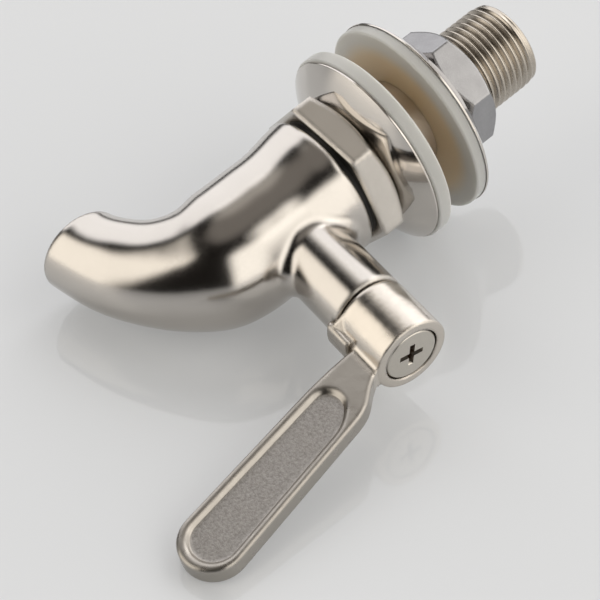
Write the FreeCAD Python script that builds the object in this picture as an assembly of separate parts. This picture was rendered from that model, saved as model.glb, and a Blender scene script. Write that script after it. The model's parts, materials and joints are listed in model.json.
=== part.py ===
import FreeCAD, Part
import math
import os
from FreeCAD import Placement, Rotation, Vector

# Beverage dispenser spigot as it sits on a dispenser, in millimetres.
# +Z is up, the spout points to -Y and the threaded shank runs back along +Y.
# The origin is on the shank's axis at the dispenser's wall, the rear face of the front gasket.

os.makedirs("parts", exist_ok=True)

# Clearances
threadFit = 0.05
runningFit = 0.05
seatFit = 0.02
looseFit = 0.3

# Threaded shank and its hexagon collar
shankRadius = 8.33
shankEnd = 31.1
shankEndChamfer = 0.6
waterwayRadius = 5.0
waterwayChamfer = 0.6
collarFlats = 26.7
collarFront = -12.1
collarRear = -6.5
collarTurn = 22.5
collarConeRadius = 12.8
collarConeSlope = 30.0
collarEdgeBevel = 0.3
bossRadius = 9.0
bossChamfer = 0.5

# Dished escutcheon and the like dish behind the wall, pressed from sheet
escutcheonRadius = 18.36
rearDishRadius = 18.75
rearDishDepth = 4.3
rearDishLip = 0.15
escutcheonSheet = 0.6
escutcheonRimEdge = 0.4
escutcheonFlatRadius = 11.6
escutcheonBulge = 0.2

# Gaskets and lock nut
frontGasketOverhang = 0.48
frontGasketThickness = 2.7
rearGasketThickness = 2.25
gasketEdgeRound = 0.4
wallGap = 6.3
nutFlats = 20.4
nutThickness = 6.5
nutTurn = 57.0
nutCornerRound = 0.35
nutConeRadius = 9.7
nutConeSlope = 34.0
nutBoreChamfer = 0.5

# Ball valve
ballRadius = 7.0
ballBoreRadius = 4.0
slotWidth = 3.0
slotFloor = 4.8
seatBoreRadius = 4.2
seatRadius = 7.7
seatNear = 3.2
seatFar = 6.0
chamberRadius = 7.8
chamberRelief = 0.3

# Body barrel and spout
stemCrossing = -23.2
neckGroove = 0.8
barrelRearRadius = 13.55
barrelWaistRadius = 12.05
barrelWaist = -22.0
barrelFlare = 1.35
barrelRimRound = 0.9
spoutRootRadius = 12.1
spoutRoot = -32.18
spoutMouthRadius = 7.9
spoutMouth = -51.2
spoutDrop = 20.7
spoutRootPull = 9.78
spoutMouthPull = 10.94
spoutMouthLean = 1.23
spoutMouthRound = 0.7
portRadius = 4.3
outletRadius = 6.1
outletEdgeRound = 0.4
sealRingRadius = 11.9

# Branch that carries the stem, leaning forward
stemLean = 5.0
branchRadius = 6.85
branchTop = 26.1
branchRootRound = 2.6
branchTopRound = 0.3
glandBoreRadius = 5.2
glandBoreFloor = 16.0
stemBoreRadius = 3.5
notchDepth = 0.95
notchSlack = 1.0

# Stem and its seals
stemFoot = 8.2
tangLength = 6.4
tangEndGap = 0.15
stemNeckRadius = 2.2
ringSection = 1.2
ringRunningGap = 0.03
lowerRingHeight = 10.6
upperRingHeight = 13.4
ringGrooveWidth = 1.7
glandPartGap = 0.05
thrustWasherThickness = 1.0
stemCollarThickness = 2.0
glandWasherThickness = 1.0
glandNutThickness = 3.9
glandNutSlotWidth = 1.6
glandNutSlotDepth = 1.2
upperStemRadius = 3.7
squareFlats = 5.6
squareTopGap = 0.2
screwHoleDepth = 8.0

# Lever: hub, blade and stop lug
seamGap = 0.3
hubHeight = 11.5
hubRadius = 6.85
hubLowerRound = 0.8
hubUpperRound = 0.35
counterboreDepth = 2.9
hubWeb = 2.0
bladeThickness = 3.8
bladeEdgeRound = 0.65
bladeTipRadius = 5.8
bladeTipForward = 44.3
bladeTipRise = 7.6
bladeLowerSlope = 13.4
bladeUpperSlope = 15.8
bladeLowerBend = 19.0
bladeUpperBend = 15.2
bladeRootDepth = 6.25
bladeRootRound = 1.0
neckReach = 2.75
neckRise = 1.9
pocketRimWidth = 0.95
pocketWallWidth = 1.15
pocketDepth = 0.85
pocketRootForward = 13.4
pocketRootLength = 4.0
pocketTipInset = 0.35
lugInnerRadius = 5.55
lugRadius = 8.3
lugHang = 0.9
lugHeight = 5.6
lugLeft = 22.0
lugRight = 10.0
lugEdgeRound = 0.7
lugFlareLeft = 59.0
lugFlareRight = 12.0
leverTravel = 90.0

# Lever screw and lock washer
screwHeadRadius = 4.86
screwHeadSink = 0.08
screwHeadChamfer = 0.15
screwRadius = 2.0
screwHoleGap = 0.3
screwLength = 10.5
screwHeadGap = 0.3
lockWasherThickness = 0.9
lockWasherRadius = 3.9
lockWasherSplit = 0.8
crossSpan = 4.6
crossFootSpan = 2.4
crossWidth = 1.0
crossDepth = 2.2
crossTurn = -13.0

# How much of the taper from the spout's root to its mouth is left along the spout
spoutTaper = ((0.0, 1.0), (0.14, 0.95), (0.30, 0.70), (0.50, 0.38), (0.73, 0.155), (0.855, 0.07), (1.0, 0.0))
spoutTaperEnd = 0.3

# Cross-sections of the body, evenly spaced so that its surface runs smoothly through them
barrelSections = 3
waistSections = 3
spoutSections = 9

# How far the water passage has opened from the port to the outlet along the spout
passageOpening = ((0.0, 0.2), (0.14, 0.5), (0.30, 0.8), (0.50, 0.95), (0.73, 1.0), (1.0, 1.0))

# Shares of the pocket wall's width and depth from rim to floor
pocketWall = ((-0.3, -0.3), (0.02, 0.04), (0.3, 0.22), (0.6, 0.66), (0.82, 0.92), (1.0, 1.0))

# Corners of the pocket's root, as shares of its length and of its height
pocketRoot = ((0.475, 0.755), (0.06, 0.52), (0.025, 0.27), (0.34, 0.05))

bodyRear = collarFront - neckGroove
seatRear = stemCrossing + seatFar
seatShoulder = stemCrossing - seatFar
frontGasketRadius = escutcheonRadius + frontGasketOverhang
rearGasketRadius = rearDishRadius - rearDishLip
escutcheonDepth = -frontGasketThickness - collarRear
# The rear gasket sinks into its dish until its rounded edge meets the sloping sheet
rearDishSlope = (rearDishDepth - escutcheonSheet) / (rearDishRadius - escutcheonFlatRadius)
gasketEdgeRelief = gasketEdgeRound * (math.hypot(1, rearDishSlope) - 1)
rearGasketSunk = (rearDishLip + gasketEdgeRound) * rearDishSlope - gasketEdgeRelief - seatFit
nutFront = wallGap + rearGasketThickness - rearGasketSunk + rearDishDepth
hubFoot = branchTop + seamGap
hubTop = hubFoot + hubHeight
counterboreFloor = hubTop - counterboreDepth
socketRoof = counterboreFloor - hubWeb
squareTop = socketRoof - squareTopGap
washerTop = counterboreFloor + lockWasherThickness
collarFoot = glandBoreFloor + thrustWasherThickness
collarTop = collarFoot + stemCollarThickness
grooveRadius = stemBoreRadius - ringRunningGap - ringSection

# How far cutting shapes run past the face that they open
clear = 1.0


def ring(outline, axis=Vector(0, 1, 0), angle=360):
    # Turns an outline of (radius, place along the axis) pairs about the shank's or the stem's axis
    points = [Vector(radius, axis.y * along, axis.z * along) for radius, along in outline]
    face = Part.Face(Part.makePolygon(points + points[:1]))
    return face.revolve(Vector(0, 0, 0), axis, angle)


def stemRing(outline, angle=360):
    return ring(outline, Vector(0, 0, 1), angle)


def stemSector(outline, left, right):
    # A sector reaching left degrees towards -X and right degrees towards +X from the front
    sector = stemRing(outline, left + right)
    sector.rotate(Vector(0, 0, 0), Vector(0, 0, 1), -90 - left)
    return sector


def shankRod(radius, start, end):
    return Part.makeCylinder(radius, end - start, Vector(0, start, 0), Vector(0, 1, 0))


def stemRod(radius, start, end):
    return Part.makeCylinder(radius, end - start, Vector(0, 0, start), Vector(0, 0, 1))


def hexagon(flats, turn, start, end):
    corner = flats / math.sqrt(3)
    points = []
    for side in range(7):
        angle = math.radians(turn + 60 * side)
        points.append(Vector(corner * math.cos(angle), start, corner * math.sin(angle)))
    return Part.Face(Part.makePolygon(points)).extrude(Vector(0, end - start, 0))


def leaned(shape):
    # From the stem's own frame, with the stem along +Z, to its place on the body
    moved = shape.copy()
    moved.rotate(Vector(0, 0, 0), Vector(1, 0, 0), stemLean)
    moved.translate(Vector(0, stemCrossing, 0))
    return moved


def edgesWhere(shape, test):
    return [edge for edge in shape.Edges if test(edge)]


def save(name, shape):
    clean = shape.removeSplitter()
    solid = clean.Solids[0]
    print(name, round(solid.Volume, 2), len(clean.Solids), solid.isValid())
    solid.exportStep("parts/" + name + ".step")


def spoutPoint(share):
    # Centre and direction of the spout at a share of its length, 0 at the root and 1 at the mouth
    corners = (
        Vector(0, spoutRoot, 0),
        Vector(0, spoutRoot - spoutRootPull, 0),
        Vector(0, spoutMouth + spoutMouthLean, spoutMouthPull - spoutDrop),
        Vector(0, spoutMouth, -spoutDrop),
    )
    curve = Part.BezierCurve()
    curve.setPoles(corners)
    direction = curve.tangent(share)[0]
    direction.normalize()
    return curve.value(share), direction


def crossSection(centre, direction, radius):
    # A circle whose seam lies on the +X side whatever the direction
    tilt = math.degrees(math.atan2(-direction.z, -direction.y))
    circle = Part.makeCircle(radius, Vector(0, 0, 0), Vector(0, 1, 0))
    wire = Part.Wire([circle])
    wire.rotate(Vector(0, 0, 0), Vector(1, 0, 0), tilt)
    wire.translate(centre)
    return wire


def makeBody():
    back = Vector(0, -1, 0)
    sections = []
    for step in range(barrelSections + 1):
        share = step / barrelSections
        along = bodyRear + share * (barrelWaist - bodyRear)
        flare = (barrelRearRadius - barrelWaistRadius) * (1 - share) ** barrelFlare
        sections.append(crossSection(Vector(0, along, 0), back, barrelWaistRadius + flare))
    for step in range(1, waistSections + 1):
        share = step / waistSections
        along = barrelWaist + share * (spoutRoot - barrelWaist)
        radius = barrelWaistRadius + share * (spoutRootRadius - barrelWaistRadius)
        sections.append(crossSection(Vector(0, along, 0), back, radius))
    shares = [Vector(share, left, 0) for share, left in spoutTaper]
    taper = curveThrough(shares, Vector(1, 0, 0), Vector(1, -spoutTaperEnd, 0))
    for step in range(1, spoutSections + 1):
        place = taper.valueAt(taper.getParameterByLength(taper.Length * step / spoutSections))
        centre, direction = spoutPoint(place.x)
        radius = spoutMouthRadius + place.y * (spoutRootRadius - spoutMouthRadius)
        sections.append(crossSection(centre, direction, radius))
    sections.append(crossSection(centre + direction * 2 * clear, direction, spoutMouthRadius))
    body = Part.makeLoft(sections, True, False)

    # The mouth is faced off level
    reach = 3 * spoutMouthRadius
    below = Part.makeBox(2 * reach, 2 * reach, reach, Vector(-reach, spoutMouth - reach, -spoutDrop - reach))
    body = body.cut(below)
    mouthEdges = edgesWhere(body, lambda edge: edge.BoundBox.ZMax < 0.1 - spoutDrop)
    body = body.makeFillet(spoutMouthRound, mouthEdges)
    rimEdges = edgesWhere(body, lambda edge: edge.BoundBox.YMin > bodyRear - 0.1)
    body = body.makeFillet(barrelRimRound, rimEdges)

    branch = leaned(stemRod(branchRadius, 0, branchTop))
    body = body.fuse(branch)
    stemAway = Placement(Vector(0, stemCrossing, 0), Rotation(Vector(1, 0, 0), stemLean)).inverse()

    def isRootEdge(edge):
        for parameter in edge.getParameterByLength(0), edge.getParameterByLength(edge.Length / 2):
            place = stemAway.multVec(edge.valueAt(parameter))
            if abs(math.hypot(place.x, place.y) - branchRadius) > 0.05:
                return False
            if place.z < chamberRadius or place.z > branchTop - 3:
                return False
        return edge.BoundBox.DiagonalLength > branchRadius

    body = body.makeFillet(branchRootRound, edgesWhere(body, isRootEdge))

    def isTopEdge(edge):
        place = stemAway.multVec(edge.CenterOfMass)
        return abs(place.z - branchTop) < 0.05 and edge.Length > branchRadius

    body = body.makeFillet(branchTopRound, edgesWhere(body, isTopEdge))

    # Socket for the shank's boss, chamber of the ball, port behind the spout
    socketFloor = seatRear - chamberRelief
    body = body.cut(shankRod(bossRadius + threadFit, socketFloor, bodyRear + clear))
    body = body.cut(shankRod(chamberRadius, seatShoulder, bodyRear))
    body = body.cut(shankRod(seatBoreRadius, spoutRoot + clear, seatShoulder + clear))

    # Water passage down the spout
    sections = [crossSection(Vector(0, seatShoulder - clear, 0), back, seatBoreRadius)]
    for share, opened in passageOpening:
        centre, direction = spoutPoint(share)
        radius = portRadius + opened * (outletRadius - portRadius)
        sections.append(crossSection(centre, direction, radius))
    sections.append(crossSection(centre + direction * 3 * clear, direction, outletRadius))
    body = body.cut(Part.makeLoft(sections, True, False))

    def isOutletEdge(edge):
        box = edge.BoundBox
        return box.ZMax < 0.1 - spoutDrop and box.XMax < (outletRadius + spoutMouthRadius) / 2

    body = body.makeFillet(outletEdgeRound, edgesWhere(body, isOutletEdge))

    # Stem bore, gland bore and the notch that stops the lever
    body = body.cut(leaned(stemRod(stemBoreRadius, 0, branchTop)))
    body = body.cut(leaned(stemRod(glandBoreRadius, glandBoreFloor, branchTop + clear)))
    notchFloor = branchTop - notchDepth
    notch = (
        (glandBoreRadius - clear, notchFloor),
        (lugRadius + clear, notchFloor),
        (lugRadius + clear, branchTop + clear),
        (glandBoreRadius - clear, branchTop + clear),
    )
    return body.cut(leaned(stemSector(notch, lugLeft + notchSlack, lugRight + leverTravel + notchSlack)))


def makeShank():
    collar = hexagon(collarFlats, collarTurn, collarFront, collarRear)
    frontEdges = edgesWhere(collar, lambda edge: edge.BoundBox.YMax < collarFront + 0.1)
    collar = collar.makeFillet(collarEdgeBevel, frontEdges)
    rise = (collarFlats - collarConeRadius) * math.tan(math.radians(collarConeSlope))
    envelope = (
        (0, collarFront),
        (collarFlats, collarFront),
        (collarFlats, collarRear - rise),
        (collarConeRadius, collarRear),
        (0, collarRear),
    )
    collar = collar.common(ring(envelope))
    core = (
        (waterwayRadius, seatRear),
        (bossRadius - bossChamfer, seatRear),
        (bossRadius, seatRear + bossChamfer),
        (bossRadius, collarFront + clear),
        (shankRadius, collarFront + clear),
        (shankRadius, shankEnd - shankEndChamfer),
        (shankRadius - shankEndChamfer, shankEnd),
        (waterwayRadius + waterwayChamfer, shankEnd),
        (waterwayRadius, shankEnd - waterwayChamfer),
    )
    shank = collar.fuse(ring(core))
    return shank.cut(shankRod(waterwayRadius, collarFront - clear, collarRear + clear))


def makeDish(radius, depth, flatFace, side):
    # Pressed sheet dish: a flat ring round the shank at flatFace, and a rim on that side of it
    hole = shankRadius + threadFit
    flatRadius = escutcheonFlatRadius
    rimEdge = depth - escutcheonRimEdge

    def at(out, along):
        return Vector(out, flatFace + side * along, 0)

    def wall(fromRadius, flat, rim):
        # One face of the sheet from the flat to the rim, slightly bulged
        middle = at((radius + fromRadius) / 2 + escutcheonBulge, (rim + flat) / 2 - escutcheonBulge)
        return Part.Arc(at(fromRadius, flat), middle, at(radius, rim)).toShape()

    innerFlatRadius = flatRadius - escutcheonSheet / 2
    edges = [
        Part.makeLine(at(hole, 0), at(flatRadius, 0)),
        wall(flatRadius, 0, rimEdge),
        Part.makeLine(at(radius, rimEdge), at(radius, depth)),
        wall(innerFlatRadius, escutcheonSheet, depth),
        Part.makeLine(at(innerFlatRadius, escutcheonSheet), at(hole, escutcheonSheet)),
        Part.makeLine(at(hole, escutcheonSheet), at(hole, 0)),
    ]
    face = Part.Face(Part.Wire(Part.sortEdges(edges)[0]))
    return face.revolve(Vector(0, 0, 0), Vector(0, 1, 0), 360)


def makeGasket(radius, start, thickness):
    gasket = shankRod(radius, start, start + thickness)
    gasket = gasket.makeFillet(gasketEdgeRound, edgesWhere(gasket, lambda edge: len(edge.Vertexes) == 1))
    return gasket.cut(shankRod(shankRadius + threadFit, start - clear, start + thickness + clear))


def makeNut():
    nutRear = nutFront + nutThickness
    rise = (nutFlats - nutConeRadius) * math.tan(math.radians(nutConeSlope))
    bore = shankRadius + threadFit
    envelope = (
        (bore, nutFront + nutBoreChamfer),
        (bore + nutBoreChamfer, nutFront),
        (nutConeRadius, nutFront),
        (nutFlats, nutFront + rise),
        (nutFlats, nutRear - rise),
        (nutConeRadius, nutRear),
        (bore + nutBoreChamfer, nutRear),
        (bore, nutRear - nutBoreChamfer),
    )
    nut = hexagon(nutFlats, nutTurn, nutFront, nutRear)
    corners = edgesWhere(nut, lambda edge: edge.BoundBox.YLength > nutThickness / 2)
    nut = nut.makeFillet(nutCornerRound, corners)
    return nut.common(ring(envelope))


def makeSeat(near, far):
    # PTFE ring whose inner corner is hollowed to the ball
    seat = shankRod(seatRadius, min(near, far), max(near, far))
    seat = seat.cut(shankRod(seatBoreRadius, min(near, far) - clear, max(near, far) + clear))
    return seat.cut(Part.makeSphere(ballRadius + seatFit, Vector(0, stemCrossing, 0)))


def makeBall():
    ball = Part.makeSphere(ballRadius)
    bore = Part.makeCylinder(ballBoreRadius, 4 * ballRadius, Vector(0, -2 * ballRadius, 0), Vector(0, 1, 0))
    bore.rotate(Vector(0, 0, 0), Vector(1, 0, 0), -stemLean)
    slot = Part.makeBox(4 * ballRadius, slotWidth, ballRadius,
                        Vector(-2 * ballRadius, -slotWidth / 2, slotFloor))
    return leaned(ball.cut(bore).cut(slot))


def makeStem():
    lower = stemBoreRadius - runningFit
    shoulder = hubFoot
    stem = stemRod(lower, stemFoot, collarFoot + clear)
    stem = stem.fuse(stemRod(glandBoreRadius - looseFit, collarFoot, collarTop))
    stem = stem.fuse(stemRod(upperStemRadius, collarTop - clear, shoulder))
    square = Part.makeBox(squareFlats, squareFlats, squareTop - shoulder + clear,
                          Vector(-squareFlats / 2, -squareFlats / 2, shoulder - clear))
    stem = stem.fuse(square.common(stemRod(upperStemRadius, shoulder - clear, squareTop)))

    # The tang stays inside the ball's outline, so that it passes the seats
    tangFoot = slotFloor + tangEndGap
    tang = Part.makeBox(tangLength, slotWidth - 2 * runningFit, ballRadius - tangFoot,
                        Vector(-tangLength / 2, runningFit - slotWidth / 2, tangFoot))
    tang = tang.common(Part.makeSphere(ballRadius - runningFit))
    neck = stemRod(stemNeckRadius, ballRadius - slotWidth / 2, stemFoot + clear)
    neckFlats = Part.makeBox(2 * ballRadius, slotWidth - 2 * runningFit, ballRadius,
                             Vector(-ballRadius, runningFit - slotWidth / 2, 0))
    neckInBall = neck.common(Part.makeSphere(ballRadius + runningFit))
    neck = neck.cut(neckInBall).fuse(neckInBall.common(neckFlats))
    stem = stem.fuse(tang).fuse(neck)
    for height in (lowerRingHeight, upperRingHeight):
        start = height - ringGrooveWidth / 2
        groove = stemRod(stemBoreRadius + clear, start, start + ringGrooveWidth)
        stem = stem.cut(groove.cut(stemRod(grooveRadius, start - clear, start + ringGrooveWidth + clear)))
    hole = stemRod(screwRadius + threadFit, squareTop - screwHoleDepth, squareTop + clear)
    return leaned(stem.cut(hole))


def makeStemRing(height):
    # O-ring as squeezed between its groove and the stem bore
    return leaned(Part.makeTorus(grooveRadius + ringSection / 2, ringSection / 2, Vector(0, 0, height)))


def makeGlandWasher(start, thickness, hole):
    washer = stemRod(glandBoreRadius - glandPartGap, start, start + thickness)
    return leaned(washer.cut(stemRod(hole, start - clear, start + thickness + clear)))


def makeGlandNut(start):
    top = start + glandNutThickness
    nut = stemRod(glandBoreRadius - threadFit, start, top)
    nut = nut.cut(stemRod(upperStemRadius + runningFit, start - clear, top + clear))
    slot = Part.makeBox(4 * glandBoreRadius, glandNutSlotWidth, glandNutSlotDepth + clear,
                        Vector(-2 * glandBoreRadius, -glandNutSlotWidth / 2, top - glandNutSlotDepth))
    return leaned(nut.cut(slot))


def flat(forward, height, side=0.0):
    # A point of the lever's side view, in the stem's own frame
    return Vector(side, -forward, height)


def slopeVector(slope):
    return flat(math.cos(math.radians(slope)), math.sin(math.radians(slope)))


def upVector(slope):
    return flat(-math.sin(math.radians(slope)), math.cos(math.radians(slope)))


def curveThrough(points, startDirection, endDirection):
    curve = Part.BSplineCurve()
    curve.interpolate(Points=points, InitialTangent=startDirection, FinalTangent=endDirection)
    return curve.toShape()


def bladeTip(centre, radius):
    # Rounded end of the blade between the tangent points of its lower and upper edges
    lower = centre - upVector(bladeLowerSlope) * radius
    upper = centre + upVector(bladeUpperSlope) * radius
    nose = centre + slopeVector((bladeLowerSlope + bladeUpperSlope) / 2) * radius
    return lower, upper, Part.Arc(lower, nose, upper).toShape()


def backAlong(start, slope, forward):
    # The point at the given forward distance on a sloping edge that ends at start
    reach = (-start.y - forward) / math.cos(math.radians(slope))
    return start - slopeVector(slope) * reach


def bladeOutline():
    lower, upper, tip = bladeTip(flat(bladeTipForward, hubTop + bladeTipRise), bladeTipRadius)
    lowerBend = backAlong(lower, bladeLowerSlope, bladeLowerBend)
    upperBend = backAlong(upper, bladeUpperSlope, bladeUpperBend)
    middle = hubRadius / 2
    underside = (
        flat(middle, hubTop - 1.07 * bladeRootDepth),
        flat(hubRadius + neckReach / 2, hubTop - bladeRootDepth),
        lowerBend,
    )
    neck = (
        flat(middle, hubTop - 0.1 * bladeRootDepth),
        flat(hubRadius, hubTop - 0.01 * bladeRootDepth),
        flat(hubRadius + neckReach, hubTop + neckRise),
        upperBend,
    )
    edges = [
        curveThrough(underside, flat(1, 0.05), slopeVector(bladeLowerSlope)),
        Part.makeLine(lowerBend, lower),
        tip,
        Part.makeLine(upper, upperBend),
        curveThrough(neck, flat(1, 0.05), slopeVector(bladeUpperSlope)),
        Part.makeLine(neck[0], underside[0]),
    ]
    return Part.Wire(Part.sortEdges(edges)[0])


def sideSlab(outline, thickness):
    # The lever's side view made solid, evenly about the middle plane
    placed = outline.copy()
    placed.translate(Vector(-thickness / 2, 0, 0))
    return Part.Face(placed).extrude(Vector(thickness, 0, 0))


def makeBlade():
    outline = bladeOutline()
    blade = sideSlab(outline, bladeThickness)

    def isRim(edge):
        box = edge.BoundBox
        return box.XLength < 0.01 and box.YMin < -hubRadius

    blade = blade.makeFillet(bladeEdgeRound, edgesWhere(blade, isRim))

    # The casting's round between the blade's sides and the hub
    middle = bladeThickness / 2 + bladeRootRound
    forward = math.sqrt((hubRadius + bladeRootRound) ** 2 - middle ** 2)
    onHub = Vector(middle, -forward, 0) * (hubRadius / (hubRadius + bladeRootRound))
    corner = Vector(bladeThickness / 2, -forward, 0)
    toCorner = Vector(-1, 0, 0)
    toHub = onHub - Vector(middle, -forward, 0)
    toHub.normalize()
    between = toCorner + toHub
    between.normalize()
    halfway = Vector(middle, -forward, 0) + between * bladeRootRound
    mirrored = [Vector(-point.x, point.y, 0) for point in (onHub, halfway, corner)]
    edges = [
        Part.Arc(onHub, halfway, corner).toShape(),
        Part.makeLine(corner, mirrored[2]),
        Part.Arc(mirrored[2], mirrored[1], mirrored[0]).toShape(),
        Part.makeLine(mirrored[0], onHub),
    ]
    plan = Part.Face(Part.Wire(Part.sortEdges(edges)[0]))
    flare = plan.extrude(Vector(0, 0, hubTop + clear)).common(sideSlab(outline, 4 * middle))
    return blade.fuse(flare)


def pocketSection(inset, side):
    # Outline of the pocket in the blade's side, moved inwards by inset
    radius = bladeTipRadius - pocketRimWidth - inset
    lower, upper, tip = bladeTip(flat(bladeTipForward - pocketTipInset, hubTop + bladeTipRise), radius)
    lowerEnd = backAlong(lower, bladeLowerSlope, pocketRootForward + pocketRootLength)
    upperEnd = backAlong(upper, bladeUpperSlope, pocketRootForward + 1.4 * pocketRootLength)
    turn = [upperEnd]
    for share, rise in pocketRoot:
        forward = pocketRootForward + inset + share * (pocketRootLength - inset)
        turn.append(flat(forward, lowerEnd.z + rise * (upperEnd.z - lowerEnd.z)))
    turn.append(lowerEnd)
    edges = [
        Part.makeLine(lowerEnd, lower),
        tip,
        Part.makeLine(upper, upperEnd),
        curveThrough(turn, slopeVector(bladeUpperSlope) * -1, slopeVector(bladeLowerSlope)),
    ]
    wire = Part.Wire(Part.sortEdges(edges)[0])
    wire.translate(Vector(side, 0, 0))
    return wire


def makePocket(side):
    sections = []
    for width, depth in pocketWall:
        place = side * (bladeThickness / 2 - depth * pocketDepth)
        sections.append(pocketSection(width * pocketWallWidth, place))
    return Part.makeLoft(sections, True, False)


def makeLugFlare():
    # The hub swells out towards the lug, most of all at its foot
    def onRing(radius, left, height):
        angle = math.radians(-90 - left)
        return Vector(radius * math.cos(angle), radius * math.sin(angle), height)

    corners = (
        onRing(hubRadius, lugFlareLeft, hubFoot + hubLowerRound),
        onRing(lugRadius - lugEdgeRound / 2, lugLeft, hubFoot),
        onRing(hubRadius, lugFlareRight, hubFoot - lugHang + lugHeight),
        onRing(lugInnerRadius, lugLeft, hubFoot),
    )
    faces = []
    for left in range(len(corners)):
        rest = [corner for place, corner in enumerate(corners) if place != left]
        faces.append(Part.Face(Part.makePolygon(rest + rest[:1])))
    return Part.Solid(Part.Shell(faces))


def makeLever():
    hub = stemRod(hubRadius, hubFoot, hubTop)
    hub = hub.makeFillet(hubLowerRound, edgesWhere(hub, lambda edge: edge.BoundBox.ZMax < hubFoot + 0.1))
    hub = hub.makeFillet(hubUpperRound, edgesWhere(hub, lambda edge: edge.BoundBox.ZMin > hubTop - 0.1))
    lugFoot = hubFoot - lugHang
    lugTop = lugFoot + lugHeight
    lug = (
        (lugInnerRadius, lugFoot),
        (lugRadius, lugFoot),
        (lugRadius, lugTop),
        (lugInnerRadius, lugTop),
    )
    lugSector = stemSector(lug, lugLeft, lugRight)

    def isOuter(edge):
        middle = edge.CenterOfMass
        return math.hypot(middle.x, middle.y) > 0.93 * lugRadius

    lugSector = lugSector.makeFillet(lugEdgeRound, edgesWhere(lugSector, isOuter))
    lever = hub.fuse(makeBlade()).fuse(lugSector).fuse(makeLugFlare())
    for side in (-1, 1):
        lever = lever.cut(makePocket(side))
    socketFlats = squareFlats + 2 * runningFit
    socket = Part.makeBox(socketFlats, socketFlats, socketRoof - hubFoot + clear,
                          Vector(-socketFlats / 2, -socketFlats / 2, hubFoot - clear))
    socket = socket.common(stemRod(upperStemRadius + runningFit, hubFoot - clear, socketRoof))
    lever = lever.cut(socket)
    lever = lever.cut(stemRod(screwRadius + screwHoleGap, socketRoof - clear, hubTop))
    lever = lever.cut(stemRod(screwHeadRadius + screwHeadGap, counterboreFloor, hubTop + clear))
    return leaned(lever)


def makeScrew():
    top = hubTop - screwHeadSink
    screwTip = washerTop - screwLength
    screw = stemRing((
        (0, screwTip),
        (screwRadius, screwTip),
        (screwRadius, washerTop),
        (screwHeadRadius, washerTop),
        (screwHeadRadius, top - screwHeadChamfer),
        (screwHeadRadius - screwHeadChamfer, top),
        (0, top),
    ))
    for turn in (crossTurn, crossTurn + 90):
        points = (
            Vector(-crossSpan / 2, -crossWidth / 2, top),
            Vector(-crossFootSpan / 2, -crossWidth / 2, top - crossDepth),
            Vector(crossFootSpan / 2, -crossWidth / 2, top - crossDepth),
            Vector(crossSpan / 2, -crossWidth / 2, top),
        )
        wing = Part.Face(Part.makePolygon(points + points[:1])).extrude(Vector(0, crossWidth, 0))
        wing.rotate(Vector(0, 0, 0), Vector(0, 0, 1), turn)
        screw = screw.cut(wing)
    return leaned(screw)


def makeLockWasher():
    washer = stemRod(lockWasherRadius, counterboreFloor, washerTop)
    washer = washer.cut(stemRod(screwRadius + screwHoleGap, counterboreFloor - clear, washerTop + clear))
    split = Part.makeBox(lockWasherRadius + clear, lockWasherSplit, lockWasherThickness + 2 * clear,
                         Vector(0, -lockWasherSplit / 2, counterboreFloor - clear))
    return leaned(washer.cut(split))


save("spout_body", makeBody())
save("inlet_shank", makeShank())
save("escutcheon", makeDish(escutcheonRadius, escutcheonDepth, collarRear, 1))
save("front_gasket", makeGasket(frontGasketRadius, -frontGasketThickness, frontGasketThickness))
save("rear_gasket", makeGasket(rearGasketRadius, wallGap, rearGasketThickness))
save("rear_dish", makeDish(rearDishRadius, rearDishDepth, nutFront, -1))
save("lock_nut", makeNut())
sealRing = shankRod(sealRingRadius, bodyRear, collarFront)
save("body_seal_ring", sealRing.cut(shankRod(bossRadius + threadFit, bodyRear - clear, collarFront + clear)))
save("valve_ball", makeBall())
save("front_seat", makeSeat(stemCrossing - seatNear, seatShoulder))
save("rear_seat", makeSeat(stemCrossing + seatNear, seatRear))
save("valve_stem", makeStem())
save("stem_o_ring_lower", makeStemRing(lowerRingHeight))
save("stem_o_ring_upper", makeStemRing(upperRingHeight))
save("thrust_washer", makeGlandWasher(glandBoreFloor, thrustWasherThickness, stemBoreRadius + runningFit))
save("gland_washer", makeGlandWasher(collarTop, glandWasherThickness, upperStemRadius + runningFit))
save("gland_nut", makeGlandNut(collarTop + glandWasherThickness))
save("lever_handle", makeLever())
save("lever_screw", makeScrew())
save("screw_lock_washer", makeLockWasher())
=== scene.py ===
import json
import math

import bpy
from mathutils import Matrix, Vector


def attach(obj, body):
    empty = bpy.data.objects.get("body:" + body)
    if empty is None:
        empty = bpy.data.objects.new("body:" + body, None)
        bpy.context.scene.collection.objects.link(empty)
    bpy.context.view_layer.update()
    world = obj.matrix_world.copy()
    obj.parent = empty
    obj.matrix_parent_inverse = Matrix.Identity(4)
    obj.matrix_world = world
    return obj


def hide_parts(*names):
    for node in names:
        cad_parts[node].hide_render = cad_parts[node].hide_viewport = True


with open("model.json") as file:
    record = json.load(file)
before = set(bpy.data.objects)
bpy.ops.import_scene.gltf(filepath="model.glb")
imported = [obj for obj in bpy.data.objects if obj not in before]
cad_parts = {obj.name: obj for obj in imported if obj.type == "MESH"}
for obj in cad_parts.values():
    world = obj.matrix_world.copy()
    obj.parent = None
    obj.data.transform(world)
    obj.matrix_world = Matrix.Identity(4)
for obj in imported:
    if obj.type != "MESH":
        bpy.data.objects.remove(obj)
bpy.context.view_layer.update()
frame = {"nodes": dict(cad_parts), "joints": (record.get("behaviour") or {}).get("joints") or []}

nodes = frame["nodes"]
scene = bpy.context.scene
scene.view_settings.view_transform = "Standard"
mm = 0.001
# the values that a noise texture mostly keeps between
noiseLow, noiseHigh = 0.3, 0.7
print("frame loaded,", len(nodes), "nodes")


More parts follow.
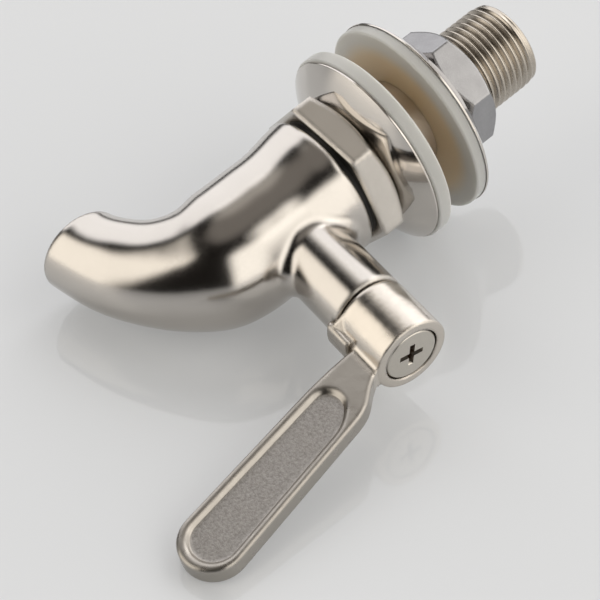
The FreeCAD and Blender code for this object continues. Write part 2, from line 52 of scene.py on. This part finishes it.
def hexColour(text, power=1.0):
    # sRGB hex to linear
    parts = [int(text[i:i + 2], 16) / 255 for i in (1, 3, 5)]
    linear = [power * (p / 12.92 if p <= 0.04045 else ((p + 0.055) / 1.055) ** 2.4) for p in parts]
    return (*linear, 1.0)


def addNode(tree, kind, settings=None, links=None):
    # one node with its settings and links; a linked node gives its first output
    node = tree.nodes.new("ShaderNode" + kind)
    for name, value in (settings or {}).items():
        if isinstance(name, str) and hasattr(node, name):
            setattr(node, name, value)
        else:
            node.inputs[name].default_value = value
    for name, source in (links or {}).items():
        socket = source.outputs[0] if isinstance(source, bpy.types.Node) else source
        tree.links.new(socket, node.inputs[name])
    return node


def newMaterial(name):
    # an empty material and its node tree
    material = bpy.data.materials.new(name)
    material.use_nodes = True
    material.node_tree.nodes.clear()
    return material, material.node_tree


def perMm(size):
    # pattern scale for a feature size in millimetres
    return 1000.0 / size


def steel(name, look):
    # stainless steel, whose grain, streaks and unevenness come from how it was finished
    material, tree = newMaterial(name)
    place = addNode(tree, "TexCoord").outputs["Object"]
    streaked = addNode(tree, "Mapping", {"Scale": look.get("streak", (1, 1, 1))}, {"Vector": place})
    cloud = addNode(tree, "TexNoise", {"Scale": perMm(look["cloudMm"]), "Detail": 4.0}, {"Vector": place})
    grain = addNode(tree, "TexNoise", {"Scale": perMm(look["grainMm"]), "Detail": 3.0}, {"Vector": streaked})
    tint = addNode(tree, "MixRGB", {"Color1": hexColour(look["dark"]), "Color2": hexColour(look["light"])},
                   {"Fac": cloud})
    low, high = look["rough"]
    rough = addNode(tree, "MapRange", {
        "From Min": noiseLow, "From Max": noiseHigh, "To Min": low, "To Max": high}, {"Value": grain})
    edges = addNode(tree, "Bevel", {"samples": 6, "Radius": look["edgeRoundMm"] * mm})
    waves = addNode(tree, "Bump", {"Strength": 1.0, "Distance": look["waveDepthMm"] * mm},
                    {"Height": cloud, "Normal": edges})
    bump = addNode(tree, "Bump", {"Strength": 1.0, "Distance": look["grainDepthMm"] * mm},
                   {"Height": grain, "Normal": waves})
    shader = addNode(tree, "BsdfPrincipled", {"Metallic": 1.0},
                     {"Base Color": tint, "Roughness": rough, "Normal": bump})
    addNode(tree, "OutputMaterial", None, {"Surface": shader})
    return material


def dress(nodeName, material):
    # the CAD node takes this material
    node = nodes[nodeName]
    if not node.data.materials:
        node.data.materials.append(material)
    for i in range(len(node.data.materials)):
        node.data.materials[i] = material


# Camera, as the photograph was taken, about 35 cm from the spigot
cameraLook = {
    "place": (-0.26564, -0.12826, 0.19141),
    "right": (0.1533, 0.7496, 0.6439),
    "up": (-0.5820, 0.5951, -0.5542),
    "back": (-0.7986, -0.2897, 0.5275),
    "lensMm": 120.0,
    "sensorMm": 36.0,
    "clip": (0.01, 20.0),
}
cameraData = bpy.data.cameras.new("photoCamera")
cameraData.lens = cameraLook["lensMm"]
cameraData.sensor_width = cameraLook["sensorMm"]
cameraData.clip_start, cameraData.clip_end = cameraLook["clip"]
camera = bpy.data.objects.new("photoCamera", cameraData)
scene.collection.objects.link(camera)
turn = Matrix((cameraLook["right"], cameraLook["up"], cameraLook["back"])).transposed()
camera.matrix_world = Matrix.Translation(cameraLook["place"]) @ turn.to_4x4()
scene.camera = camera
print("camera set")

# Table: the spigot lies on its side, on the gasket's rim and the lever's tip
tableLook = {
    "down": (0.9793, -0.1972, 0.0448),
    "reachMm": 18.95,
    "size": 3.0,
    "back": 0.14,
    "colour": "#dfe2e6",
    "rough": 0.06,
    "ior": 1.58,
    "plain": "#d4d4d3",
    "plainShare": 0.32,
}
tableUp = -Vector(tableLook["down"]).normalized()
towardCamera = Vector(cameraLook["back"])
towardCamera = (towardCamera - towardCamera.dot(tableUp) * tableUp).normalized()
tableRight = tableUp.cross(towardCamera)


def makeTable():
    # a pale gloss table top, seen and lit from its upper side only; it ends soon behind the spigot, and the
    # dark beyond it draws the fine line along the body's upper edge
    centre = -tableUp * tableLook["reachMm"] * mm
    half, back = tableLook["size"] / 2, tableLook["back"]
    corners = [centre + tableRight * across + towardCamera * along
               for across, along in ((-half, -back), (-half, half), (half, half), (half, -back))]
    mesh = bpy.data.meshes.new("tableTop")
    mesh.from_pydata(corners, [], [(0, 1, 2, 3)])
    if mesh.polygons[0].normal.dot(tableUp) < 0:
        mesh.flip_normals()
    table = bpy.data.objects.new("tableTop", mesh)
    scene.collection.objects.link(table)
    material, tree = newMaterial("paleGlossTable")
    shader = addNode(tree, "BsdfPrincipled", {
        "Base Color": hexColour(tableLook["colour"]), "Roughness": tableLook["rough"],
        "IOR": tableLook["ior"]})
    # a part of its pale colour is seen straight and in the metal, and the rest keeps the shadow
    path = addNode(tree, "LightPath").outputs
    seen = addNode(tree, "Math", {"operation": "MAXIMUM"},
                   {0: path["Is Camera Ray"], 1: path["Is Glossy Ray"]})
    shown = addNode(tree, "Math", {"operation": "MAXIMUM"}, {0: seen, 1: path["Is Transmission Ray"]})
    share = addNode(tree, "Math", {"operation": "MULTIPLY", 1: tableLook["plainShare"]}, {0: shown})
    plain = addNode(tree, "Emission", {"Color": hexColour(tableLook["plain"]), "Strength": 1.0})
    shade = addNode(tree, "MixShader", None, {"Fac": share, 1: shader, 2: plain})
    clear = addNode(tree, "BsdfTransparent")
    side = addNode(tree, "NewGeometry").outputs["Backfacing"]
    mix = addNode(tree, "MixShader", None, {"Fac": side, 1: shade, 2: clear})
    addNode(tree, "OutputMaterial", None, {"Surface": mix})
    material.cycles.emission_sampling = "NONE"
    mesh.materials.append(material)


makeTable()
print("table set")

# Room and soft boxes round the table. Angles are in degrees: the compass angle from straight ahead of the
# camera, + to its right, the rise over the table, and how wide, tall and soft-edged each box is. They stand
# where the polished steel of the photograph shows bright, and the corners between them stay dark
roomLook = {"seen": "#dcdcdb", "corner": "#1c1a18", "ceiling": "#8a8580", "ceilingRise": (62, 78)}
boxLook = {
    "leftBox": {"angle": -103, "rise": 21, "wide": 50, "tall": 62, "edge": 6,
                "colour": "#fff9ef", "power": 1.65},
    "backBox": {"angle": -4, "rise": 31, "wide": 76, "tall": 56, "edge": 5,
                "colour": "#fcfbfc", "power": 1.57},
    "backGlow": {"angle": 2, "rise": 65, "wide": 36, "tall": 20, "edge": 7,
                 "colour": "#fbf6ee", "power": 0.45},
    "rightWall": {"angle": 60, "rise": 27, "wide": 56, "tall": 64, "edge": 9,
                  "colour": "#fffcf8", "power": 1.45},
    "windowFar": {"angle": 107, "rise": 29, "wide": 32, "tall": 66, "edge": 7,
                  "colour": "#fffbf4", "power": 1.78},
    "windowNear": {"angle": 145, "rise": 20, "wide": 31, "tall": 54, "edge": 7,
                   "colour": "#fffbf4", "power": 1.78},
}


def compass(angle, rise):
    # a direction over the table
    a, e = math.radians(angle), math.radians(rise)
    level = -towardCamera * math.cos(a) + tableRight * math.sin(a)
    return level * math.cos(e) + tableUp * math.sin(e)


def tangent(degrees):
    return math.tan(math.radians(degrees))


def softBox(tree, way, look):
    # the light of one soft box in the ray's direction, none behind the box's back
    away = compass(look["angle"], look["rise"])
    side = tableUp.cross(away).normalized()
    upright = away.cross(side).normalized()
    depth = addNode(tree, "VectorMath", {"operation": "DOT_PRODUCT", 1: away}, {0: way}).outputs["Value"]
    cover = addNode(tree, "MapRange", {
        "interpolation_type": "SMOOTHSTEP", "From Min": 0.0, "From Max": 0.02}, {"Value": depth})
    for axis, full in ((side, look["wide"]), (upright, look["tall"])):
        aside = addNode(tree, "VectorMath", {"operation": "DOT_PRODUCT", 1: axis}, {0: way}).outputs["Value"]
        slope = addNode(tree, "Math", {"operation": "DIVIDE"}, {0: aside, 1: depth})
        size = addNode(tree, "Math", {"operation": "ABSOLUTE"}, {0: slope})
        within = addNode(tree, "MapRange", {
            "interpolation_type": "SMOOTHSTEP", "From Min": tangent(max(full / 2 - look["edge"], 0)),
            "From Max": tangent(full / 2 + look["edge"]), "To Min": 1.0, "To Max": 0.0}, {"Value": size})
        cover = addNode(tree, "Math", {"operation": "MULTIPLY"}, {0: cover, 1: within})
    colour = hexColour(look["colour"], look["power"])[:3]
    return addNode(tree, "VectorMath", {"operation": "SCALE", 0: colour}, {"Scale": cover})


def makeRoom():
    world = bpy.data.worlds.new("studioRoom")
    scene.world = world
    world.use_nodes = True
    tree = world.node_tree
    tree.nodes.clear()
    way = addNode(tree, "TexCoord").outputs["Generated"]
    low, high = [math.sin(math.radians(rise)) for rise in roomLook["ceilingRise"]]
    rise = addNode(tree, "VectorMath", {"operation": "DOT_PRODUCT", 1: tableUp}, {0: way}).outputs["Value"]
    above = addNode(tree, "MapRange", {
        "interpolation_type": "SMOOTHSTEP", "From Min": low, "From Max": high}, {"Value": rise})
    light = addNode(tree, "MixRGB", {"Color1": hexColour(roomLook["corner"]),
                                     "Color2": hexColour(roomLook["ceiling"])}, {"Fac": above})
    for look in boxLook.values():
        light = addNode(tree, "VectorMath", {"operation": "ADD"}, {0: light, 1: softBox(tree, way, look)})
    seen = addNode(tree, "LightPath").outputs["Is Camera Ray"]
    shown = addNode(tree, "MixRGB", {"Color2": hexColour(roomLook["seen"])}, {"Fac": seen, "Color1": light})
    shade = addNode(tree, "Background", {"Strength": 1.0}, {"Color": shown})
    addNode(tree, "OutputWorld", None, {"Surface": shade})


makeRoom()
print("room and soft boxes set")

# Body: stainless steel, cast and buffed nearly to a mirror, so the room shows in it softly
polishedCastLook = {
    "light": "#c7c2bc", "dark": "#bcb7b1", "rough": (0.13, 0.19), "cloudMm": 9.0, "grainMm": 0.35,
    "waveDepthMm": 0.01, "grainDepthMm": 0.0004, "edgeRoundMm": 1.4,
}
# Collar: bar steel, milled and buffed, so its flats are even and its corners a little rolled over
polishedBarLook = {
    "light": "#ccc7c0", "dark": "#c1bcb5", "rough": (0.12, 0.17), "cloudMm": 9.0, "grainMm": 0.25,
    "waveDepthMm": 0.08, "grainDepthMm": 0.0003, "edgeRoundMm": 1.5,
}
# Dishes: sheet with its mill polish, the brightest mirror of all
polishedSheetLook = {
    "light": "#cfcac4", "dark": "#c6c1bb", "rough": (0.08, 0.12), "cloudMm": 8.0, "grainMm": 0.3,
    "waveDepthMm": 0.008, "grainDepthMm": 0.0002, "edgeRoundMm": 0.15,
}
# Lock nut: milled and tumbled, not polished, so it stays grey and even
tumbledNutLook = {
    "light": "#a8a8a9", "dark": "#919092", "rough": (0.18, 0.28), "cloudMm": 2.5, "grainMm": 0.3,
    "waveDepthMm": 0.008, "grainDepthMm": 0.002, "streak": (1, 6, 1), "edgeRoundMm": 0.5,
}
# Thread: cut on the lathe and left so, its flanks finely torn
cutThreadLook = {
    "light": "#c4bcb1", "dark": "#aea69b", "rough": (0.22, 0.33), "cloudMm": 3.0, "grainMm": 0.2,
    "waveDepthMm": 0.001, "grainDepthMm": 0.002, "edgeRoundMm": 0.05,
}
# Neck between the gaskets: turned and left matt. Its colour is a light warm beige, a painted reflection of
# the silicone round it that also lightens the shade it lies in
mattNeckLook = {
    "light": "#d8cec1", "dark": "#ccc1b2", "rough": (0.36, 0.44), "cloudMm": 3.0, "grainMm": 0.2,
    "waveDepthMm": 0.001, "grainDepthMm": 0.001, "edgeRoundMm": 0.1,
}
# Small inner pieces: plain turned steel
turnedLook = {
    "light": "#c4c0b9", "dark": "#b8b3ac", "rough": (0.22, 0.34), "cloudMm": 3.0, "grainMm": 0.2,
    "waveDepthMm": 0.001, "grainDepthMm": 0.001, "edgeRoundMm": 0.1,
}

polishedCastSteel = steel("polishedCastSteel", polishedCastLook)
polishedBarSteel = steel("polishedBarSteel", polishedBarLook)
polishedSheetSteel = steel("polishedSheetSteel", polishedSheetLook)
tumbledNutSteel = steel("tumbledNutSteel", tumbledNutLook)
cutThreadSteel = steel("cutThreadSteel", cutThreadLook)
mattNeckSteel = steel("mattNeckSteel", mattNeckLook)
turnedSteel = steel("turnedSteel", turnedLook)

# The lever's axis in the part's frame, from its joint
hinge = frame["joints"][0]
stemPoint = Vector(hinge["pos_m"])
stemAxis = Vector(hinge["axis"]).normalized()


def fromStem(tree, place):
    return addNode(tree, "VectorMath", {"operation": "SUBTRACT", 1: stemPoint}, {0: place})


def awayFromStem(tree, place):
    # distance from the lever's axis
    across = addNode(tree, "VectorMath", {"operation": "CROSS_PRODUCT", 1: stemAxis},
                     {0: fromStem(tree, place)})
    return addNode(tree, "VectorMath", {"operation": "LENGTH"}, {0: across}).outputs["Value"]


def upTheStem(tree, place):
    # height over the shank's axis, along the lever's
    along = addNode(tree, "VectorMath", {"operation": "DOT_PRODUCT", 1: stemAxis},
                    {0: fromStem(tree, place)})
    return along.outputs["Value"]


# Lever: investment cast steel. The hub was buffed, the blade's rim brushed, and the pocket kept its sandy
# skin, so it runs from shiny at the hub to a dull speckled grey in the pocket
leverLook = {
    "hub": "#cbc4bb", "rim": "#a8a39c", "floor": "#afaba7", "floorDark": "#96928e", "speckle": (0.35, 0.62),
    "hubRough": 0.22, "rimRough": 0.31, "floorRough": 0.5, "unevenRough": 0.12,
    "hubRadiusMm": 7.3, "hubFadeMm": 1.5, "pocketFromMm": 33.0, "pocketFadeMm": 1.0,
    "floorHalfMm": 1.3, "floorFadeMm": 0.15, "floorFacing": (0.8, 0.95), "edgeRoundMm": 0.8,
    "sandMm": 0.5, "sandDepthMm": 0.07, "swellMm": 3.0, "swellDepthMm": 0.05,
    "grainMm": 0.15, "grainDepthMm": 0.0012,
}


def pocketFloor(tree, coords, look):
    # 1 on the flat floor of the blade's two pockets, 0 elsewhere
    spot = addNode(tree, "SeparateXYZ", None, {"Vector": coords.outputs["Object"]})
    facing = addNode(tree, "SeparateXYZ", None, {"Vector": coords.outputs["Normal"]})
    inward = addNode(tree, "Math", {"operation": "ABSOLUTE"}, {0: spot.outputs["X"]})
    square = addNode(tree, "Math", {"operation": "ABSOLUTE"}, {0: facing.outputs["X"]})
    half, root = look["floorHalfMm"] * mm, -look["pocketFromMm"] * mm
    deep = addNode(tree, "MapRange", {
        "From Min": half, "From Max": half + look["floorFadeMm"] * mm, "To Min": 1.0, "To Max": 0.0},
        {"Value": inward})
    low, high = look["floorFacing"]
    flat = addNode(tree, "MapRange", {"From Min": low, "From Max": high}, {"Value": square})
    beyond = addNode(tree, "MapRange", {
        "From Min": root - look["pocketFadeMm"] * mm, "From Max": root, "To Min": 1.0, "To Max": 0.0},
        {"Value": spot.outputs["Y"]})
    both = addNode(tree, "Math", {"operation": "MULTIPLY"}, {0: deep, 1: flat})
    return addNode(tree, "Math", {"operation": "MULTIPLY"}, {0: both, 1: beyond})


def leverSteel(look):
    material, tree = newMaterial("castLeverSteel")
    coords = addNode(tree, "TexCoord")
    place = coords.outputs["Object"]
    floor = pocketFloor(tree, coords, look)
    away = awayFromStem(tree, place)
    hub = addNode(tree, "MapRange", {
        "interpolation_type": "SMOOTHSTEP", "From Min": look["hubRadiusMm"] * mm,
        "From Max": (look["hubRadiusMm"] + look["hubFadeMm"]) * mm, "To Min": 1.0, "To Max": 0.0},
        {"Value": away})
    swell = addNode(tree, "TexNoise", {"Scale": perMm(look["swellMm"]), "Detail": 4.0}, {"Vector": place})
    sand = addNode(tree, "TexNoise", {"Scale": perMm(look["sandMm"]), "Detail": 5.0, "Roughness": 0.65},
                   {"Vector": place})
    grain = addNode(tree, "TexNoise", {"Scale": perMm(look["grainMm"]), "Detail": 2.0}, {"Vector": place})
    low, high = look["speckle"]
    speckle = addNode(tree, "MapRange", {"From Min": low, "From Max": high}, {"Value": sand})
    skin = addNode(tree, "MixRGB", {
        "Color1": hexColour(look["floorDark"]), "Color2": hexColour(look["floor"])}, {"Fac": speckle})
    buffed = addNode(tree, "MixRGB", {"Color1": hexColour(look["rim"]), "Color2": hexColour(look["hub"])},
                     {"Fac": hub})
    tint = addNode(tree, "MixRGB", None, {"Fac": floor, "Color1": buffed, "Color2": skin})
    smooth = addNode(tree, "MapRange", {"To Min": look["rimRough"], "To Max": look["hubRough"]},
                     {"Value": hub})
    matt = addNode(tree, "MapRange", {"To Max": look["floorRough"]}, {"Value": floor, "To Min": smooth})
    uneven = addNode(tree, "MapRange", {
        "From Min": noiseLow, "From Max": noiseHigh, "To Min": -look["unevenRough"] / 2,
        "To Max": look["unevenRough"] / 2}, {"Value": swell})
    rough = addNode(tree, "Math", {"operation": "ADD"}, {0: matt, 1: uneven})
    sandy = addNode(tree, "Math", {"operation": "MULTIPLY"}, {0: sand, 1: floor})
    rounded = addNode(tree, "Bevel", {"samples": 6, "Radius": look["edgeRoundMm"] * mm})
    waves = addNode(tree, "Bump", {"Strength": 1.0, "Distance": look["swellDepthMm"] * mm},
                    {"Height": swell, "Normal": rounded})
    grit = addNode(tree, "Bump", {"Strength": 1.0, "Distance": look["sandDepthMm"] * mm},
                   {"Height": sandy, "Normal": waves})
    fine = addNode(tree, "Bump", {"Strength": 1.0, "Distance": look["grainDepthMm"] * mm},
                   {"Height": grain, "Normal": grit})
    shader = addNode(tree, "BsdfPrincipled", {"Metallic": 1.0},
                     {"Base Color": tint, "Roughness": rough, "Normal": fine})
    addNode(tree, "OutputMaterial", None, {"Surface": shader})
    return material


# Lever's screw: turned head, satin, dark brown and less metallic deep in its cross recess
screwLook = {
    "light": "#cbc6bd", "dark": "#bab5ac", "recessBrown": "#54412f", "recessMetal": 0.3, "rough": (0.26, 0.36),
    "grainMm": 0.25, "topMm": 37.82, "topFadeMm": 0.1, "recessMm": 0.9, "recessRadiusMm": 2.4,
    "recessFadeMm": 0.3,
}


def screwSteel(look):
    material, tree = newMaterial("turnedScrewSteel")
    place = addNode(tree, "TexCoord").outputs["Object"]
    grain = addNode(tree, "TexNoise", {"Scale": perMm(look["grainMm"]), "Detail": 3.0}, {"Vector": place})
    clean = addNode(tree, "MixRGB", {"Color1": hexColour(look["dark"]), "Color2": hexColour(look["light"])},
                    {"Fac": grain})
    top, radius = look["topMm"] * mm, look["recessRadiusMm"] * mm
    sunk = addNode(tree, "MapRange", {
        "From Min": top - look["recessMm"] * mm, "From Max": top - look["topFadeMm"] * mm,
        "To Min": 1.0, "To Max": 0.0}, {"Value": upTheStem(tree, place)})
    inner = addNode(tree, "MapRange", {
        "From Min": radius, "From Max": radius + look["recessFadeMm"] * mm, "To Min": 1.0, "To Max": 0.0},
        {"Value": awayFromStem(tree, place)})
    # dark brown and less metallic deep in the cross recess
    inRecess = addNode(tree, "Math", {"operation": "MULTIPLY"}, {0: sunk, 1: inner})
    tint = addNode(tree, "MixRGB", {"Color2": hexColour(look["recessBrown"])}, {"Fac": inRecess, "Color1": clean})
    metal = addNode(tree, "MapRange", {"To Min": 1.0, "To Max": look["recessMetal"]}, {"Value": inRecess})
    low, high = look["rough"]
    rough = addNode(tree, "MapRange", {"To Min": low, "To Max": high}, {"Value": grain})
    shader = addNode(tree, "BsdfPrincipled", None,
                     {"Base Color": tint, "Metallic": metal, "Roughness": rough})
    addNode(tree, "OutputMaterial", None, {"Surface": shader})
    return material


castLeverSteel = leverSteel(leverLook)
turnedScrewSteel = screwSteel(screwLook)

# Gaskets: moulded silicone, milky and a little see-through, pale grey of their own. Towards the centre they
# are painted beige, a painted shade and painted warm reflection for the gap between the gaskets, where they
# shade each other
siliconeLook = {
    "pale": "#c5c5c2", "beige": "#d4c2a4", "rough": 0.36, "ior": 1.41, "milky": 0.9, "depthMm": 2.2,
    "paintedShadeFadeMm": (13.0, 16.8), "cloudMm": 4.0, "cloudDepthMm": 0.01,
}


def siliconeRubber(look):
    material, tree = newMaterial("milkySilicone")
    place = addNode(tree, "TexCoord").outputs["Object"]
    spot = addNode(tree, "VectorMath", {"operation": "MULTIPLY", 1: (1, 0, 1)}, {0: place})
    radius = addNode(tree, "VectorMath", {"operation": "LENGTH"}, {0: spot}).outputs["Value"]
    # painted shade: beige towards the middle, where the gaskets shade each other, and pale further out
    low, high = [size * mm for size in look["paintedShadeFadeMm"]]
    outsidePaintedShade = addNode(tree, "MapRange", {
        "interpolation_type": "SMOOTHSTEP", "From Min": low, "From Max": high}, {"Value": radius})
    tint = addNode(tree, "MixRGB", {"Color1": hexColour(look["beige"]), "Color2": hexColour(look["pale"])},
                   {"Fac": outsidePaintedShade})
    cloud = addNode(tree, "TexNoise", {"Scale": perMm(look["cloudMm"]), "Detail": 3.0}, {"Vector": place})
    bump = addNode(tree, "Bump", {"Strength": 1.0, "Distance": look["cloudDepthMm"] * mm},
                   {"Height": cloud})
    shader = addNode(tree, "BsdfPrincipled", {
        "Roughness": look["rough"], "IOR": look["ior"], "Subsurface Weight": look["milky"],
        "Subsurface Radius": (1.0, 1.0, 0.95), "Subsurface Scale": look["depthMm"] * mm},
        {"Base Color": tint, "Normal": bump})
    addNode(tree, "OutputMaterial", None, {"Surface": shader})
    return material


# Rings: black nitrile rubber, moulded and dull
nitrileLook = {"dark": "#181817", "light": "#1b1b1a", "rough": 0.45, "ior": 1.52, "cloudMm": 1.5}
# Seats and washers: white fluoropolymer, turned, with a waxy shine
fluoropolymerLook = {"dark": "#d6d5d0", "light": "#e6e5e0", "rough": 0.35, "ior": 1.38, "cloudMm": 1.5}


def mouldedMaterial(name, look):
    # plain rubber or plastic, a little cloudy
    material, tree = newMaterial(name)
    place = addNode(tree, "TexCoord").outputs["Object"]
    cloud = addNode(tree, "TexNoise", {"Scale": perMm(look["cloudMm"]), "Detail": 3.0}, {"Vector": place})
    tint = addNode(tree, "MixRGB", {"Color1": hexColour(look["dark"]), "Color2": hexColour(look["light"])},
                   {"Fac": cloud})
    shader = addNode(tree, "BsdfPrincipled", {"Roughness": look["rough"], "IOR": look["ior"]},
                     {"Base Color": tint})
    addNode(tree, "OutputMaterial", None, {"Surface": shader})
    return material


# Threaded shank: the collar and its boss as the CAD has them, behind them a plain neck, and then a cut
# thread. Sizes are in millimetres, and land is the blunt end of the thread's last turn
threadLook = {
    "crest": 8.33, "root": 7.48, "pitch": 1.337, "neck": -6.5, "start": 6.6, "end": 31.1, "chamfer": 0.6,
    "land": 0.6, "landCut": 0.35, "bore": 5.0, "mouth": 5.6, "slack": 0.01, "steps": 120,
    "profile": ((0.0, 0.0), (0.09, 0.0), (0.16, 0.1), (0.40, 0.9), (0.5, 1.0), (0.60, 0.9), (0.84, 0.1),
                (0.91, 0.0)),
}


def threadRadius(look, place, depth):
    # how far the thread's surface is from the axis; it fades out at both ends
    left = look["end"] - place
    fade = min(max((left - look["land"]) / look["pitch"], 0.0), 1.0)
    runIn = min(max((place - look["start"]) / look["pitch"], 0.0), 1.0)
    cut = (depth * fade + look["landCut"] * (1 - fade)) * runIn
    radius = look["crest"] - cut * (look["crest"] - look["root"])
    return min(radius, look["crest"] - look["chamfer"] + left)


def onAxis(radius, place, turned):
    # a point round the shank's axis, at a share of a whole turn
    angle = 2 * math.pi * turned
    return (radius * math.cos(angle) * mm, place * mm, radius * math.sin(angle) * mm)


def makeThreadedShank(look):
    # faces of the CAD solid that stay, with the directions that they are shaded by: slot 0, in polished bar
    solid = nodes["inlet_shank"].data
    points, faces, shading, slots = [], [], [], []
    places = {}
    for face in solid.polygons:
        corners = [solid.vertices[i].co for i in face.vertices]
        radii = [math.hypot(corner.x, corner.z) / mm for corner in corners]
        behind = max(corner.y for corner in corners) / mm > look["start"]
        if behind and min(radii) > look["bore"] + look["slack"]:
            continue
        faces.append([places.setdefault(i, len(places)) for i in face.vertices])
        shading.extend(tuple(solid.corner_normals[k].vector) for k in face.loop_indices)
        slots.append(0)
    for i in places:
        points.append(tuple(solid.vertices[i].co))

    # the thread as one helical band, slot 1, and a ring for the plain neck, slot 2, and for the end
    steps = look["steps"]
    turns = math.ceil((look["end"] - look["start"]) / look["pitch"]) + 1
    across = []
    for lap in range(-1, turns):
        across += [(lap + share, depth) for share, depth in look["profile"]]
    columns = []
    for step in range(steps + 1):
        column = []
        for laps, depth in across:
            place = look["start"] + look["pitch"] * (laps + step / steps)
            place = min(max(place, look["start"]), look["end"])
            column.append((place, threadRadius(look, place, depth)))
        columns.append(column)
    first = len(points)
    for step, column in enumerate(columns):
        points += [onAxis(radius, place, step / steps) for place, radius in column]
    long = len(across)
    for step in range(steps):
        for k in range(long - 1):
            one, two = first + step * long + k, first + (step + 1) * long + k
            heights = {round(points[i][1] / mm, 4) for i in (one, one + 1, two, two + 1)}
            if len(heights) > 1:
                faces.append((one, one + 1, two + 1, two))
                slots.append(1)
    rings = (
        (2, (look["crest"], look["neck"]), (look["crest"], look["start"])),
        (1, (look["crest"] - look["chamfer"], look["end"]), (look["mouth"], look["end"])),
    )
    for slot, *pair in rings:
        first = len(points)
        for radius, place in pair:
            points += [onAxis(radius, place, step / steps) for step in range(steps)]
        for step in range(steps):
            one, after = first + step, first + (step + 1) % steps
            faces.append((one, one + steps, after + steps, after))
            slots.append(slot)
    mesh = bpy.data.meshes.new("threadedShank")
    mesh.from_pydata(points, [], faces)
    for face, slot in zip(mesh.polygons, slots):
        face.material_index = slot
    mesh.shade_smooth()
    shading += [(0, 0, 0)] * (len(mesh.loops) - len(shading))
    mesh.normals_split_custom_set(shading)
    mesh.materials.append(polishedBarSteel)
    mesh.materials.append(cutThreadSteel)
    mesh.materials.append(mattNeckSteel)
    piece = bpy.data.objects.new("threaded_shank", mesh)
    scene.collection.objects.link(piece)
    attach(piece, "spigot")
    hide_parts("inlet_shank")


makeThreadedShank(threadLook)
print("threaded shank made")

milkySilicone = siliconeRubber(siliconeLook)
blackNitrile = mouldedMaterial("blackNitrile", nitrileLook)
whiteFluoropolymer = mouldedMaterial("whiteFluoropolymer", fluoropolymerLook)

dress("spout_body", polishedCastSteel)
dress("escutcheon", polishedSheetSteel)
dress("front_gasket", milkySilicone)
dress("rear_gasket", milkySilicone)
dress("rear_dish", polishedSheetSteel)
dress("lock_nut", tumbledNutSteel)
dress("body_seal_ring", blackNitrile)
dress("valve_ball", polishedBarSteel)
dress("lever_handle", castLeverSteel)
dress("lever_screw", turnedScrewSteel)
for inner in ("valve_stem", "gland_nut", "screw_lock_washer"):
    dress(inner, turnedSteel)
for ring in ("stem_o_ring_lower", "stem_o_ring_upper"):
    dress(ring, blackNitrile)
for washer in ("front_seat", "rear_seat", "thrust_washer", "gland_washer"):
    dress(washer, whiteFluoropolymer)
print("materials set")
